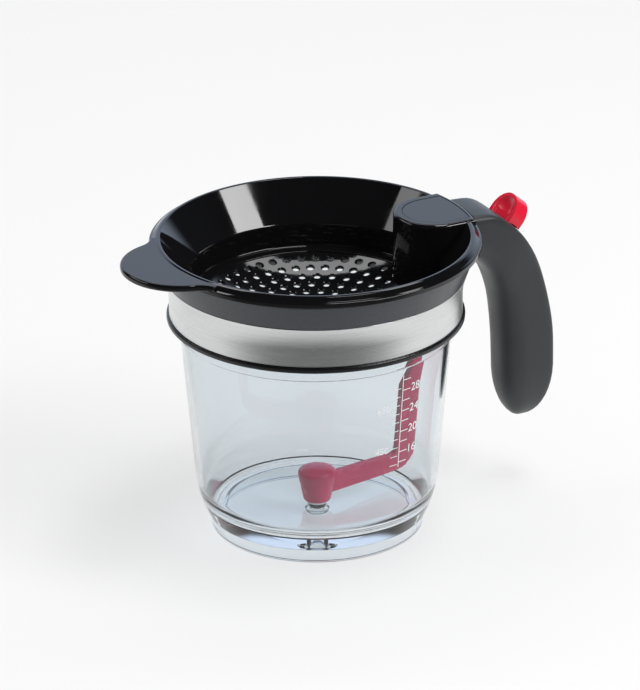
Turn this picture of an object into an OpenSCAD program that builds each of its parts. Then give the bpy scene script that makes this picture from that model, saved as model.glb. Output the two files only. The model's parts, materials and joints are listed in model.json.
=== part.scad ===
// Gravy fat separator: a clear jar that drains through the middle of its floor, a collar with a
// steel band and a handle, a lift-off strainer lid, and a thumb trigger that lifts the stopper.
// Millimetres. The origin is on the jar's axis in the plane that its foot stands on,
// +X runs towards the handle and +Z is up.

/* [Jar] */
// Outer radius of the jar wall just under its bead
jar_r = 65.9; // [64:0.1:67]
// Lean of the jar wall from the vertical, in degrees
jar_taper = 5.2; // [4:0.1:6]
// Thickness of the jar wall
jar_wall = 3; // [2.5:0.1:3.4]
// Height of the underside of the bead
bead_z = 101.5; // [99:0.5:103]
// Height of the bead
bead_h = 6.5; // [5:0.1:8]
// How far the bead stands out from the wall
bead_out = 1.1; // [0.8:0.1:1.5]
// Height of the neck above the bead
neck_h = 18; // [16:0.1:19]
// Height where the wall starts to curve in to the foot
curve_z = 28; // [26:0.5:30]
// Radius of that curve
curve_r = 58; // [54:1:62]
// Outer radius of the foot ring
foot_r = 52.6; // [51:0.1:53]
// Height of the foot ring
foot_h = 7.6; // [7:0.1:8.5]
// Height of the floor at the drain
floor_z = 8; // [7.5:0.1:8.5]
// How far the floor rises from the drain to the wall
floor_rise = 4.5; // [3:0.1:5.5]
// Thickness of the floor
floor_t = 4; // [3.5:0.1:4.5]
// Radius of the drain hole
drain_r = 3.5; // [3.2:0.1:3.8]
// Wall of the drain's nozzle
nozzle_wall = 2.4; // [2:0.1:3]

/* [Collar and band] */
// Outer radius of the steel band
band_r = 71; // [70.8:0.1:72]
// Height of the steel band
band_h = 20; // [18:0.1:21]
// Thickness of the steel sheet
band_t = 0.6; // [0.5:0.05:0.8]
// Height of the straight part of the band
band_straight_h = 9; // [7:0.1:10]
// Radius of the flare at the top of the band
flare_r = 32; // [28:1:36]
// How far the black ring stands out from the band
ring_out = 1.2; // [0.8:0.1:1.6]
// Height of the black ring
ring_h = 2.9; // [2.4:0.1:3.4]
// Height of the collar above the band
collar_lip_h = 13.5; // [12.5:0.1:14]
// Thickness of the jar's seal
seal_t = 2; // [1.6:0.1:2.4]

/* [Strainer lid] */
// Outer radius of the lid's rim
rim_r = 80.2; // [79.6:0.1:82]
// Inner radius of the bowl at the rim
bowl_top_r = 74.8; // [74:0.1:75.4]
// Gap from the bowl's inner wall to the jar's mouth
bowl_gap = 2.8; // [2.5:0.1:4]
// Height of the rim above the collar
rim_h = 5.6; // [5:0.1:6.5]
// Depth of the sloping part of the bowl
cone_h = 19; // [18:0.1:20]
// Depth of the straight part of the bowl, down to its ledge
bowl_h = 11.7; // [10.5:0.1:12.5]
// Wall thickness of the lid
lid_wall = 1.8; // [1.5:0.1:2]
// Radius of the strainer dish where it meets the ledge
dish_r = 53.5; // [52:0.5:55]
// How far the middle of the strainer dish lies under its edge
dish_drop = 10.7; // [9.5:0.1:11.5]
// Thickness of the strainer dish
dish_t = 1.6; // [1.4:0.1:2]
// Diameter of a strainer hole
hole_d = 3.3; // [2.8:0.1:3.6]
// Distance between the rings of holes
hole_ring_step = 6.2; // [6:0.1:7]
// Radius of the first ring of holes
hole_first_r = 6.2; // [6:0.1:6.6]
// Number of rings of holes
hole_rings = 8; // [5:1:8]
// Radius of the thumb tab's round end
tab_r = 30; // [28:1:33]
// Radius of the corners between the tab and the rim
tab_corner_r = 12; // [8:1:16]
// Reach of the thumb tab from the jar's axis
tab_reach = 101; // [98:0.5:104]
// Thickness of the thumb tab
tab_t = 3.4; // [3:0.1:3.8]
// Half width of the housing over the lever
hump_half_w = 20; // [19.5:0.1:21]
// Distance of the housing's nose from the jar's axis
hump_nose = 44.6; // [43.5:0.1:46]

/* [Handle] */
// Reach of the handle from the jar's axis
handle_reach = 125; // [124:0.5:128]
// Width of the handle at its head
head_w = 30.5; // [29:0.5:32]
// Width of the handle at its grip
grip_w = 28; // [26:0.5:29]
// Height of the top of the handle's spine
spine_z = 148.5; // [147.5:0.1:148.8]
// Height of the handle's lower tip
tip_z = 33.4; // [33:0.1:38]
// Wall round the pocket in the handle's head
handle_wall = 3.4; // [3:0.1:3.6]

/* [Trigger] */
// Distance of the trigger's pivot from the jar's axis
pivot_x = 96.6; // [96.2:0.1:97]
// Height of the trigger's pivot
pivot_z = 130.5; // [130:0.1:131]
// Radius of the pivot pin
pivot_r = 2; // [1.8:0.1:2.2]
// Slope of the spine at the trigger, in degrees
pad_slope = 40; // [38:0.5:42]
// Width of the thumb pad
pad_w = 20; // [18:0.5:20.5]
// Height of the thumb pad
pad_h = 12.4; // [12:0.1:14]
// Thickness of the thumb pad
pad_t = 7.5; // [7:0.1:8]
// Width of the lever
lever_w = 12; // [11.6:0.1:12.4]
// How far the trigger turns, in degrees
trigger_angle = 10.5; // [8:0.5:11]

/* [Valve] */
// Thickness of the valve arm across the handle's plane
arm_w = 4; // [3.6:0.1:5]
// Depth of the valve arm's upright at its top
arm_t = 5.6; // [5:0.1:6]
// Depth of the valve arm's upright above the floor
blade_t = 10; // [9:0.1:10.5]
// Height of the level part of the valve arm
reach_h = 10; // [9:0.1:10.2]
// Radius of the hood over the drain
hood_r = 9.4; // [8.8:0.1:9.4]
// Height of the hood
hood_h = 17.2; // [16:0.1:17.5]
// Radius of the link pin
link_r = 1.5; // [1.3:0.1:1.6]
// Distance of the link pin from the jar's axis
link_x = 59.5; // [59.2:0.1:59.8]
// Height of the link pin
link_z = 134; // [133.8:0.1:134.4]

/* [Hidden] */

$fn = 96;
round_fn = 48;      // small round parts
hull_fn = 32;       // children of a hull
e = 0.01;           // overlap that fuses two solids of one piece
fit = 0.1;          // gap between fixed pieces
free = 0.3;         // gap between pieces that move past each other

// Heights of the stack, from the bead up
bead_top = bead_z + bead_h;
ring_top = bead_top + ring_h;
band_bot = ring_top + fit;
band_top = band_bot + band_h;
collar_top = band_top + collar_lip_h;
mouth_z = bead_top + neck_h;
shoulder_z = mouth_z + seal_t;
rim_under = collar_top + free;
rim_top = collar_top + rim_h;

// Radii of the neck and of what surrounds it
neck_r = jar_r + 0.2;
mouth_r = neck_r - jar_wall;
sleeve_r = neck_r + free;
shoulder_r = mouth_r + 0.4;
bowl_r = mouth_r - bowl_gap;
lug = 4;            // overlap or reach that only has to pass through

// Wall of the jar: a leaning line, then a curve in to the foot
function wall_r(z) = jar_r - (bead_z - z) * tan(jar_taper);
curve_start = [wall_r(curve_z), curve_z];
curve_centre = curve_start - curve_r * [cos(jar_taper), -sin(jar_taper)];
curve_end_a = asin((curve_centre[1] - foot_h) / curve_r);
curve_steps = 8;
function on_curve(r, a) = curve_centre + r * [cos(a), -sin(a)];

// Inner wall of the jar: the same line one wall in, then a fillet on to the floor
inner_r_at = function(z) wall_r(z) - jar_wall;
inner_fillet = 13;
floor_edge_z = floor_z + floor_rise;
fillet_z = floor_edge_z + inner_fillet;
fillet_x = inner_r_at(fillet_z) - inner_fillet;
foot_inner_r = foot_r - 6.5;
nozzle_r = drain_r + nozzle_wall;
nozzle_z = 1.2;
seat_r = drain_r + 0.9;
seat_h = 0.9;

// Band: straight, then flared; the collar's lip goes on along the same line
flare_h = band_h - band_straight_h;
flare_a = asin(flare_h / flare_r);
flare_steps = 6;
flare_z0 = band_bot + band_straight_h;
flare_top_r = band_r + flare_r * (1 - cos(flare_a));
lip_seat_z = band_top + band_t * sin(flare_a) + fit;
lip_r = flare_top_r + collar_lip_h * tan(flare_a);
function on_flare(off, a) =
    [band_r + flare_r - (flare_r + off) * cos(a), flare_z0 + (flare_r + off) * sin(a)];

// Bowl of the lid
bowl_edge_z = rim_top - cone_h;
ledge_top = bowl_edge_z - bowl_h;
ledge_z = ledge_top - lid_wall;
cone_a = atan((bowl_top_r - bowl_r) / cone_h);
cone_shift = lid_wall / cos(cone_a);
function cone_r(z) = bowl_r + (z - bowl_edge_z) * tan(cone_a);
dish_edge_z = ledge_top - 0.7;
dish_R = (dish_r * dish_r + dish_drop * dish_drop) / (2 * dish_drop);
dish_centre_z = dish_edge_z - dish_drop + dish_R;
function dish_z(r) = dish_centre_z - sqrt(dish_R * dish_R - r * r);
tab_x = tab_reach - tab_r;
hump_x = hump_nose + hump_half_w;
hump_top = rim_top + 0.2;
hump_under = dish_z(hump_nose) - dish_t;
panel_sink = 0.8;
panel_border = 4.4;

// Handle: outer line, inner line and width, from the head to the grip
outer_line = [[70, spine_z], [82, spine_z], [92, spine_z - 1.4], [101, spine_z - 8.2],
              [109, 131.4], [handle_reach - 9, 118.5], [handle_reach - 3.6, 100.5],
              [handle_reach - 0.4, 82], [handle_reach, 62]];
inner_line = [[70, 124], [79.5, 123.8], [86, 120.8], [91, 115], [94.4, 107], [96.6, 98],
              [98, 86], [98.8, 74], [handle_reach - 25.8, 62]];
width_line = [head_w, head_w, head_w, head_w, head_w - 0.5, grip_w + 0.5, grip_w, grip_w, grip_w];
line_steps = 4;
tip_steps = 10;
sides = 36;
line_last = len(outer_line) - 1;
grip_mid = (outer_line[line_last] + inner_line[line_last]) / 2;
grip_half = (outer_line[line_last] - inner_line[line_last])[0] / 2;
tip_drop = grip_mid[1] - tip_z;
tip_lean = -0.8;

// Catmull-Rom curve through a list of points
function pick(list, i) = list[max(0, min(len(list) - 1, i))];
function smooth(list, i, t) =
    let (a = pick(list, i - 1), b = pick(list, i), c = pick(list, i + 1), d = pick(list, i + 2))
    b + t * ((c - a) / 2 + t * ((a - 2.5 * b + 2 * c - d / 2) + t * (1.5 * b - 1.5 * c + (d - a) / 2)));
function along(list) = concat(
    [for (i = [0 : len(list) - 2], k = [0 : line_steps - 1]) smooth(list, i, k / line_steps)],
    [list[len(list) - 1]]);

outer_pts = along(outer_line);
inner_pts = along(inner_line);
widths = along(width_line);
body_rings = len(outer_pts);

// One ring of the handle between an outer and an inner point: square on the outer side,
// round on the inner side
outer_square = 9;
inner_square = 2.5;
function oval(t) =
    let (n = cos(t) > 0 ? outer_square : inner_square)
    [sign(cos(t)) * pow(abs(cos(t)), 2 / n), sign(sin(t)) * pow(abs(sin(t)), 2 / n)];
function ring_points(outer, inner, width) =
    let (mid = (outer + inner) / 2, half = (outer - inner) / 2)
    [for (s = [0 : sides - 1]) let (q = oval(360 * s / sides))
        [mid[0] + half[0] * q[0], width / 2 * q[1], mid[1] + half[1] * q[0]]];
function tip_ring(k) =
    let (a = 90 * k / tip_steps, shrink = max(cos(a), 0.05),
         mid = grip_mid + [tip_lean * sin(a), -tip_drop * sin(a)], half = [grip_half * shrink, 0])
    ring_points(mid + half, mid - half, grip_w * shrink);

// Trigger: a frame on the pivot, s along the spine and n out of it
hub_r = 4.6;
skirt_n = 10.7;
well_n = 9;
pad_s0 = -pad_t / 2;
link_dx = pivot_x - link_x;
link_dz = link_z - pivot_z;
link_len = norm([link_dx, link_dz]);
link_a = atan(link_dz / link_dx);
valve_lift = link_len * (sin(link_a + trigger_angle) - sin(link_a));
link_shift = link_len * (cos(link_a) - cos(link_a + trigger_angle));
lever_front_r = 3.4;
lever_t = 5.2;
fork_gap = arm_w + 2 * free;
pocket_w = lever_w + 2;

// Valve arm
arm_gap = 2.6;
arm_up_gap = 0.8;
jog_z0 = 62;
jog_z1 = 73;
reach_z = 18.3;
reach_rise = 3.2;
hood_z = 11.4;
stem_r = 2.2;
seal_r = 5.7;
head_top = link_z + 3.6;
hood_top = hood_z + hood_h;
post_x1 = inner_r_at(curve_z) - arm_gap;
up_x1 = mouth_r - arm_up_gap;
guide_z = mouth_z - 14;
guide_t = 2.4;
guide_ear_t = 2.2;
ear_in = 7.6;
ear_out = 14;
guide_screw_x = 66.8;
guide_screw_y = 11;
screw_depth = 8;
notch_w = lever_w + 2;

// Return spring, between the lever and the handle's ceiling
spring_x = 84;
spring_r = 3;
wire_r = 0.45;
spring_turns = 5;
spring_top = spine_z - handle_wall - 0.6;
lever_top_at_spring = pivot_z + (pivot_x - spring_x) * tan(link_a) + lever_t / 2 / cos(link_a);
spring_bot = lever_top_at_spring + free + 0.5;

clear_tint = [0.80, 0.88, 0.92, 0.35];
black = [0.06, 0.06, 0.07];
grey = [0.24, 0.26, 0.27];
red = [0.80, 0.10, 0.18];
steel = [0.72, 0.73, 0.74];

// ---------------------------------------------------------------- jar

module jar_outer() {
    polygon(concat(
        [[0, 0], [foot_r - 1.3, 0], [foot_r - 0.5, 0.8], [foot_r, foot_h - 1.4],
         [foot_r - 0.4, foot_h - 0.8], [foot_r - 0.8, foot_h]],
        [for (k = [curve_steps : -1 : 1])
            on_curve(curve_r, jar_taper + (curve_end_a - jar_taper) * k / curve_steps)],
        [curve_start, [jar_r, bead_z], [jar_r + bead_out, bead_z + 0.9],
         [jar_r + bead_out, bead_top - 0.6], [jar_r + bead_out - 0.6, bead_top],
         [neck_r, bead_top], [neck_r, mouth_z], [0, mouth_z]]));
}

module jar_inner() {
    fillet_end_a = 90 - atan(floor_rise / fillet_x);
    polygon(concat(
        [[0, floor_z], [seat_r, floor_z]],
        [for (k = [curve_steps : -1 : 0])
            let (a = jar_taper + (fillet_end_a - jar_taper) * k / curve_steps)
            [fillet_x + inner_fillet * cos(a), fillet_z - inner_fillet * sin(a)]],
        [[inner_r_at(bead_z), bead_z], [mouth_r, bead_top], [mouth_r, mouth_z + 1], [0, mouth_z + 1]]));
}

module jar_under() {
    under_rise = floor_rise - 1.6;
    polygon([[nozzle_r, -1], [foot_inner_r, -1], [foot_inner_r, floor_z - floor_t + under_rise - 1],
             [foot_inner_r - 2, floor_z - floor_t + under_rise], [nozzle_r + 1, floor_z - floor_t],
             [nozzle_r, floor_z - floor_t - 0.6]]);
}

module jar() {
    color(clear_tint)
    difference() {
        rotate_extrude() difference() {
            jar_outer();
            jar_inner();
            jar_under();
        }
        translate([0, 0, -1]) cylinder(r = nozzle_r + e, h = nozzle_z + 1);
        translate([0, 0, -1]) cylinder(r = drain_r, h = floor_z + 2);
        translate([0, 0, floor_z - seat_h]) cylinder(r1 = drain_r, r2 = seat_r, h = seat_h + e);
    }
}

module jar_seal() {
    color("gray")
    rotate_extrude()
        translate([mouth_r + 0.3, mouth_z + fit / 2])
        square([neck_r - mouth_r - 0.4, seal_t - fit]);
}

// ---------------------------------------------------------------- collar, band and ring

module base_ring() {
    outer = band_r + ring_out;
    color(black)
    rotate_extrude()
        polygon([[neck_r + fit, bead_top + fit / 2], [outer - 0.9, bead_top + fit / 2],
                 [outer - 0.2, bead_top + 0.6], [outer, bead_top + ring_h * 0.45],
                 [outer - 0.2, ring_top - 0.6], [outer - 0.8, ring_top], [neck_r + fit, ring_top]]);
}

module flare_band(inner_off, outer_off) {
    polygon(concat(
        [[band_r - inner_off, band_bot], [band_r - outer_off, band_bot]],
        [for (k = [0 : flare_steps]) on_flare(outer_off, flare_a * k / flare_steps)],
        [for (k = [flare_steps : -1 : 0]) on_flare(inner_off, flare_a * k / flare_steps)]));
}

// Way through the band and the collar for the lever
module lever_way(z) {
    translate([0, -notch_w / 2, z]) cube([lip_r + lug, notch_w, collar_top + lug - z]);
}

module steel_band() {
    color(steel)
    difference() {
        rotate_extrude() flare_band(band_t, 0);
        lever_way(shoulder_z + 1.2);
    }
}

// Everything inside the collar's outer skin, used to seat the handle as well
module collar_skin(grow) {
    polygon(concat(
        [[0, band_bot], [band_r + grow, band_bot]],
        [for (k = [0 : flare_steps]) on_flare(-grow, flare_a * k / flare_steps)],
        [[lip_r + grow, collar_top], [0, collar_top]]));
}

module collar_profile() {
    difference() {
        polygon(concat(
            [[0, band_bot], [band_r - band_t - fit, band_bot]],
            [for (k = [0 : flare_steps]) on_flare(band_t + fit, flare_a * k / flare_steps)],
            [[flare_top_r - band_t - fit, lip_seat_z], [flare_top_r, lip_seat_z],
             [lip_r - 0.4, collar_top - 0.8], [lip_r - 0.9, collar_top], [0, collar_top]]));
        polygon([[0, band_bot - 1], [sleeve_r, band_bot - 1], [sleeve_r, mouth_z],
                 [neck_r + fit, mouth_z], [neck_r + fit, shoulder_z], [shoulder_r, shoulder_z],
                 [shoulder_r, bowl_edge_z - 0.4],
                 [cone_r(collar_top + 1) + cone_shift + 0.5, collar_top + 1], [0, collar_top + 1]]);
    }
}

module collar() {
    color(grey)
    difference() {
        rotate_extrude() collar_profile();
        lever_way(shoulder_z + 1.4);
        // seats for the guide's ears
        guide_ears(fit, lug);
        for (side = [-1, 1]) {
            guide_screw_place(side)
                translate([0, 0, -screw_depth])
                cylinder(r = 1.1 + fit / 2, h = screw_depth + lug, $fn = round_fn);
            handle_screw_place(side) handle_screw_body(fit / 2);
        }
    }
}

// ---------------------------------------------------------------- guide for the valve arm

module guide_ears(grow, extra) {
    for (side = [-1, 1])
        translate([up_x1 - arm_t - guide_t - grow, side > 0 ? ear_in - grow : -ear_out - grow,
                   shoulder_z - grow])
        cube([guide_screw_x + 3 - (up_x1 - arm_t - guide_t) + 2 * grow, ear_out - ear_in + 2 * grow,
              guide_ear_t + 2 * grow + extra]);
}

module guide_screw_place(side) {
    translate([guide_screw_x, side * guide_screw_y, shoulder_z + guide_ear_t]) children();
}

module arm_guide() {
    front_x = up_x1 - arm_t - free - guide_t;
    cheek_y = arm_w / 2 + free;
    color(grey)
    difference() {
        union() {
            guide_ears(0, 0);
            // channel round the upright, open towards the wall
            translate([front_x, -cheek_y - guide_t, guide_z])
                cube([guide_t, 2 * (cheek_y + guide_t), shoulder_z + guide_ear_t - guide_z]);
            for (side = [-1, 1])
                translate([front_x, side > 0 ? cheek_y : -cheek_y - guide_t, guide_z])
                cube([up_x1 - front_x - 1.2, guide_t, shoulder_z - guide_z]);
            // webs from the channel out to the ears
            for (side = [-1, 1])
                translate([front_x, side > 0 ? cheek_y + guide_t - e : -ear_out, shoulder_z])
                cube([guide_t + 0.6, ear_out - cheek_y - guide_t + e, guide_ear_t]);
        }
        for (side = [-1, 1])
            guide_screw_place(side)
                translate([0, 0, -guide_ear_t - 1])
                cylinder(r = 1.1 + fit, h = guide_ear_t + 2, $fn = round_fn);
    }
}

module guide_screw(side) {
    color(steel)
    guide_screw_place(side) {
        translate([0, 0, 0.4 - screw_depth]) cylinder(r = 1.1, h = screw_depth, $fn = round_fn);
        difference() {
            translate([0, 0, 0.02]) cylinder(r1 = 2.3, r2 = 1.9, h = 1.3, $fn = round_fn);
            translate([0, 0, 0.7]) cylinder(r = 0.9, h = 1, $fn = 6);
        }
    }
}

// ---------------------------------------------------------------- handle

module handle_solid() {
    rings = concat(
        [for (i = [0 : body_rings - 1])
            ring_points(outer_pts[i], inner_pts[i], widths[i])],
        [for (k = [1 : tip_steps]) tip_ring(k)]);
    points = [for (ring = rings, p = ring) p];
    last = len(rings) - 1;
    polyhedron(points, concat(
        [[for (s = [sides - 1 : -1 : 0]) s]],
        [for (i = [0 : last - 1], s = [0 : sides - 1])
            let (a = i * sides + s, b = i * sides + (s + 1) % sides)
            each [[a, b, b + sides], [a, b + sides, a + sides]]],
        [[for (s = [0 : sides - 1]) last * sides + s]]));
}

// Flat outline in the handle's plane, swept across it
module across(width) {
    rotate([90, 0, 0]) translate([0, 0, -width / 2]) linear_extrude(width) children();
}

// Points of the inner and outer lines, moved into the handle by a wall
function unit(v) = v / norm(v);
function inner_in(i) = inner_pts[i] + handle_wall * unit(outer_pts[i] - inner_pts[i]);
function outer_in(i) = outer_pts[i] + handle_wall * unit(inner_pts[i] - outer_pts[i]);

// Pocket in the head, from the collar to just under the hub of the lever
module pocket_outline() {
    head_in = outer_pts[0][0] - mouth_r + lug;
    floor = pivot_z - hub_r - 1.2;
    intersection() {
        polygon(concat(
            [[outer_in(0)[0] - head_in, outer_in(0)[1]]],
            [for (i = [0 : body_rings - 1]) outer_in(i)],
            [for (i = [body_rings - 1 : -1 : 0]) inner_in(i)],
            [[inner_in(0)[0] - head_in, inner_in(0)[1]]]));
        translate([0, floor]) square([handle_reach, spine_z - floor]);
    }
}

module pivot_frame() {
    translate([pivot_x, 0, pivot_z]) rotate([0, pad_slope, 0]) children();
}

module along_x(r, x0, x1) {
    translate([x0, 0, 0]) rotate([0, 90, 0]) cylinder(r = r, h = x1 - x0, $fn = round_fn);
}

pin_reach = head_w / 2 - 2.6;
handle_screw_y = 10.4;
handle_screw_z = 138.5;
handle_screw_x = 71.6;

module handle_screw_place(side) {
    translate([handle_screw_x, side * handle_screw_y, handle_screw_z]) children();
}

module handle_screw_body(grow) {
    along_x(1.5 + grow, -e, 18 + grow);
    along_x(2.8 + grow, -2.2 - grow, 0);
    along_x(2.8 + grow, -2 * lug, -2.2);
}

module handle() {
    color(grey)
    difference() {
        handle_solid();
        // seat on the collar and clear of the lid's rim
        rotate_extrude() collar_skin(fit);
        translate([0, 0, rim_under - 0.8]) cylinder(r = rim_r + 0.5, h = spine_z - collar_top + lug);
        across(pocket_w) pocket_outline();
        // bore for the pivot pin, closed on one side
        translate([pivot_x, head_w, pivot_z]) rotate([90, 0, 0])
            cylinder(r = pivot_r + 0.05, h = head_w + pin_reach, $fn = round_fn);
        // well for the pad and slot for its stem
        pivot_frame() {
            translate([pad_s0 - free - 0.4, -pad_w / 2 - free, well_n])
                cube([pad_t + 5.6, pad_w + 2 * free, 2 * pad_h]);
            translate([-4.2, -lever_w / 2 - free, 0]) cube([10.4, lever_w + 2 * free, 2 * pad_h]);
        }
        for (side = [-1, 1]) handle_screw_place(side) handle_screw_body(fit / 2);
    }
}

module handle_screw(side) {
    color(steel)
    handle_screw_place(side)
    difference() {
        union() {
            along_x(1.5, -1, 18);
            along_x(2.8, -2.2, 0);
        }
        translate([-3, 0, 0]) rotate([0, 90, 0]) cylinder(r = 1.4, h = 2.2, $fn = 6);
    }
}

// ---------------------------------------------------------------- trigger

module pad_outline() {
    half = pad_w / 2;
    translate([skirt_n + pad_h - half, 0]) circle(r = half, $fn = round_fn);
    translate([0, -half]) square([skirt_n + pad_h - half, pad_w]);
}

module thumb_pad() {
    dish_R2 = 15;
    difference() {
        pivot_frame()
            translate([pad_s0, 0, 0]) rotate([0, -90, 0]) mirror([0, 0, 1])
            linear_extrude(pad_t) pad_outline();
        // foot of the pad, concentric with the pivot
        translate([pivot_x, pad_w, pivot_z]) rotate([90, 0, 0]) cylinder(r = skirt_n, h = 2 * pad_w);
        // hollow for the thumb
        pivot_frame()
            translate([pad_s0 - dish_R2 + 2.2, 0, skirt_n + pad_h - pad_w / 2 + 0.8]) sphere(r = dish_R2);
    }
}

module trigger_lever() {
    front = [link_x, link_z];
    hub = [pivot_x, pivot_z];
    color(red)
    difference() {
        union() {
            thumb_pad();
            pivot_frame() translate([-2.9, -lever_w / 2, 0]) cube([5.8, lever_w, skirt_n + 3]);
            across(lever_w) {
                translate(hub) circle(r = hub_r, $fn = round_fn);
                translate(front) circle(r = lever_front_r, $fn = round_fn);
                translate(front) rotate(-link_a) translate([0, -lever_t / 2]) square([link_len, lever_t]);
            }
        }
        translate([pivot_x, lever_w, pivot_z]) rotate([90, 0, 0])
            cylinder(r = pivot_r + 0.05, h = 2 * lever_w, $fn = round_fn);
        // fork round the arm's head
        translate([link_x - 10, -fork_gap / 2, link_z - 12])
            cube([10 + 3.4 + link_r + link_shift + 2.4, fork_gap, 24]);
        translate([link_x, lever_w, link_z]) rotate([90, 0, 0])
            cylinder(r = link_r + fit / 4, h = 2 * lever_w, $fn = round_fn);
    }
}

module trigger_pin() {
    length = head_w / 2 - 1.7 + pin_reach - fit;
    color(steel)
    translate([pivot_x, head_w / 2 - 1.7, pivot_z]) rotate([90, 0, 0])
        cylinder(r = pivot_r, h = length, $fn = round_fn);
}

module link_pin() {
    color(steel)
    translate([link_x, lever_w / 2 - 0.1, link_z]) rotate([90, 0, 0])
        cylinder(r = link_r, h = lever_w - 0.2, $fn = round_fn);
}

// One unbroken wire, 8 rings to a turn
spring_rings = spring_turns * 8;
spring_sides = 6;
function spring_height(t) =
    spring_bot + wire_r + 0.05 + t * (spring_top - spring_bot - 2 * wire_r - 0.1);
function spring_point(k, s) =
    let (a = 360 * k / 8, b = 360 * s / spring_sides, r = spring_r - wire_r + wire_r * cos(b))
    [spring_x + r * cos(a), r * sin(a), spring_height(k / spring_rings) + wire_r * sin(b)];
echo(spring_gap = (spring_top - spring_bot - 2 * wire_r - 0.1) / spring_turns - 2 * wire_r);

module return_spring() {
    points = [for (k = [0 : spring_rings], s = [0 : spring_sides - 1]) spring_point(k, s)];
    color(steel)
    polyhedron(points, concat(
        [[for (s = [spring_sides - 1 : -1 : 0]) s]],
        [for (k = [0 : spring_rings - 1], s = [0 : spring_sides - 1])
            let (a = k * spring_sides + s, b = k * spring_sides + (s + 1) % spring_sides)
            each [[a, b, b + spring_sides], [a, b + spring_sides, a + spring_sides]]],
        [[for (s = [0 : spring_sides - 1]) spring_rings * spring_sides + s]]));
}

// ---------------------------------------------------------------- valve

module arm_outline() {
    reach_top = reach_z + reach_h / 2;
    reach_under = reach_z - reach_h / 2;
    straight_z = guide_z - valve_lift - 1.3;
    polygon([[0, reach_top], [post_x1 - blade_t - 2.5, reach_top + reach_rise],
             [post_x1 - blade_t - 0.6, reach_top + reach_rise + 1],
             [post_x1 - blade_t, reach_top + reach_rise + 3.4],
             [inner_r_at(jog_z0) - arm_gap - blade_t, jog_z0],
             [inner_r_at(jog_z1) - arm_up_gap - arm_t, jog_z1],
             [up_x1 - arm_t, straight_z], [up_x1 - arm_t, head_top - 1.5], [up_x1 - arm_t + 1.5, head_top],
             [up_x1 - 1.5, head_top], [up_x1, head_top - 1.5], [up_x1, straight_z],
             [inner_r_at(jog_z1) - arm_up_gap, jog_z1],
             [inner_r_at(jog_z0) - arm_gap, jog_z0],
             [post_x1, curve_z], [post_x1 - 0.8, curve_z - 2.8], [post_x1 - 2.3, curve_z - 5],
             [post_x1 - 5, reach_under + reach_rise + 3.6], [post_x1 - 8, reach_under + reach_rise + 2.3],
             [post_x1 - 11.5, reach_under + reach_rise + 1.5], [0, reach_under]]);
}

module hood() {
    rotate_extrude()
        polygon([[0, hood_z], [hood_r - 3.2, hood_z], [hood_r - 2.7, hood_z + 0.5],
                 [hood_r - 0.5, hood_top - 6.5], [hood_r - 0.1, hood_top - 4.4], [hood_r, hood_top - 3.2],
                 [hood_r - 0.3, hood_top - 2.2], [hood_r - 1.2, hood_top - 1.3],
                 [hood_r - 3, hood_top - 0.6], [hood_r - 5.5, hood_top - 0.15], [0, hood_top]]);
}

module valve_arm() {
    slot_half = link_r + 0.25;
    color(red)
    difference() {
        union() {
            difference() {
                across(arm_w) arm_outline();
                translate([0, 0, reach_z - 10]) cylinder(r = hood_r - 3.2, h = 30, $fn = round_fn);
            }
            hood();
        }
        // slot for the link pin, long enough for the swing of the lever
        across(arm_w + 2) {
            translate([link_x, link_z]) circle(r = slot_half, $fn = round_fn);
            translate([link_x + link_shift, link_z]) circle(r = slot_half, $fn = round_fn);
            translate([link_x, link_z - slot_half]) square([link_shift, 2 * slot_half]);
        }
        translate([0, 0, hood_z - 1]) cylinder(r = stem_r + fit / 2, h = 7.5, $fn = round_fn);
    }
}

// Rubber plug: a stem in the hood, a waist and a tip that closes the drain
module valve_stem() {
    tip = floor_z - seat_h + 0.05;
    back = free * sqrt(2);
    color(black)
    rotate_extrude($fn = round_fn)
        polygon([[0, tip], [drain_r - back + 0.05, tip], [seat_r - back, floor_z],
                 [seat_r - back, floor_z + 0.7], [drain_r + 0.1, floor_z + 1.1],
                 [drain_r + 0.1, hood_z - 1.3], [stem_r, hood_z - 1.3],
                 [stem_r, hood_z + 6.3], [0, hood_z + 6.3]]);
}

module valve_seal() {
    color("white")
    rotate_extrude($fn = round_fn)
        polygon([[stem_r + fit / 2, hood_z - 1.2], [seal_r - 0.4, hood_z - 1.2],
                 [seal_r, hood_z - 0.7], [seal_r - 0.1, hood_z - 0.05],
                 [stem_r + fit / 2, hood_z - 0.05]]);
}

// ---------------------------------------------------------------- strainer lid

module lid_profile() {
    polygon([
        [bowl_r + lid_wall, ledge_z], [bowl_r + lid_wall, bowl_edge_z - 1.2],
        [cone_r(bowl_edge_z + 1) + cone_shift, bowl_edge_z + 1],
        [cone_r(rim_under) + cone_shift, rim_under], [rim_r - 0.4, rim_under],
        [rim_r, rim_under + 0.4], [rim_r, rim_top - 2.9], [rim_r - 0.5, rim_top - 2.4],
        [rim_r - 1.1, rim_top - 2.2], [rim_r - 1.5, rim_top - 1.5],
        [bowl_top_r + 2, rim_top - 0.1], [bowl_top_r + 1.2, rim_top + 0.2],
        [bowl_top_r + 0.4, rim_top + 0.1], [bowl_top_r, rim_top - 0.4],
        [bowl_r + 1.3, bowl_edge_z + 1.8], [bowl_r + 0.4, bowl_edge_z + 0.4],
        [bowl_r, bowl_edge_z - 1.2], [bowl_r, ledge_z + lid_wall + 0.6],
        [bowl_r - 0.6, ledge_z + lid_wall], [dish_r + fit, ledge_z + lid_wall], [dish_r + fit, ledge_z]]);
}

module hump_outline(inset) {
    translate([hump_x, 0]) circle(r = hump_half_w - inset);
    translate([hump_x, -hump_half_w + inset])
        square([rim_r - hump_x + 5, 2 * (hump_half_w - inset)]);
}

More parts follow.
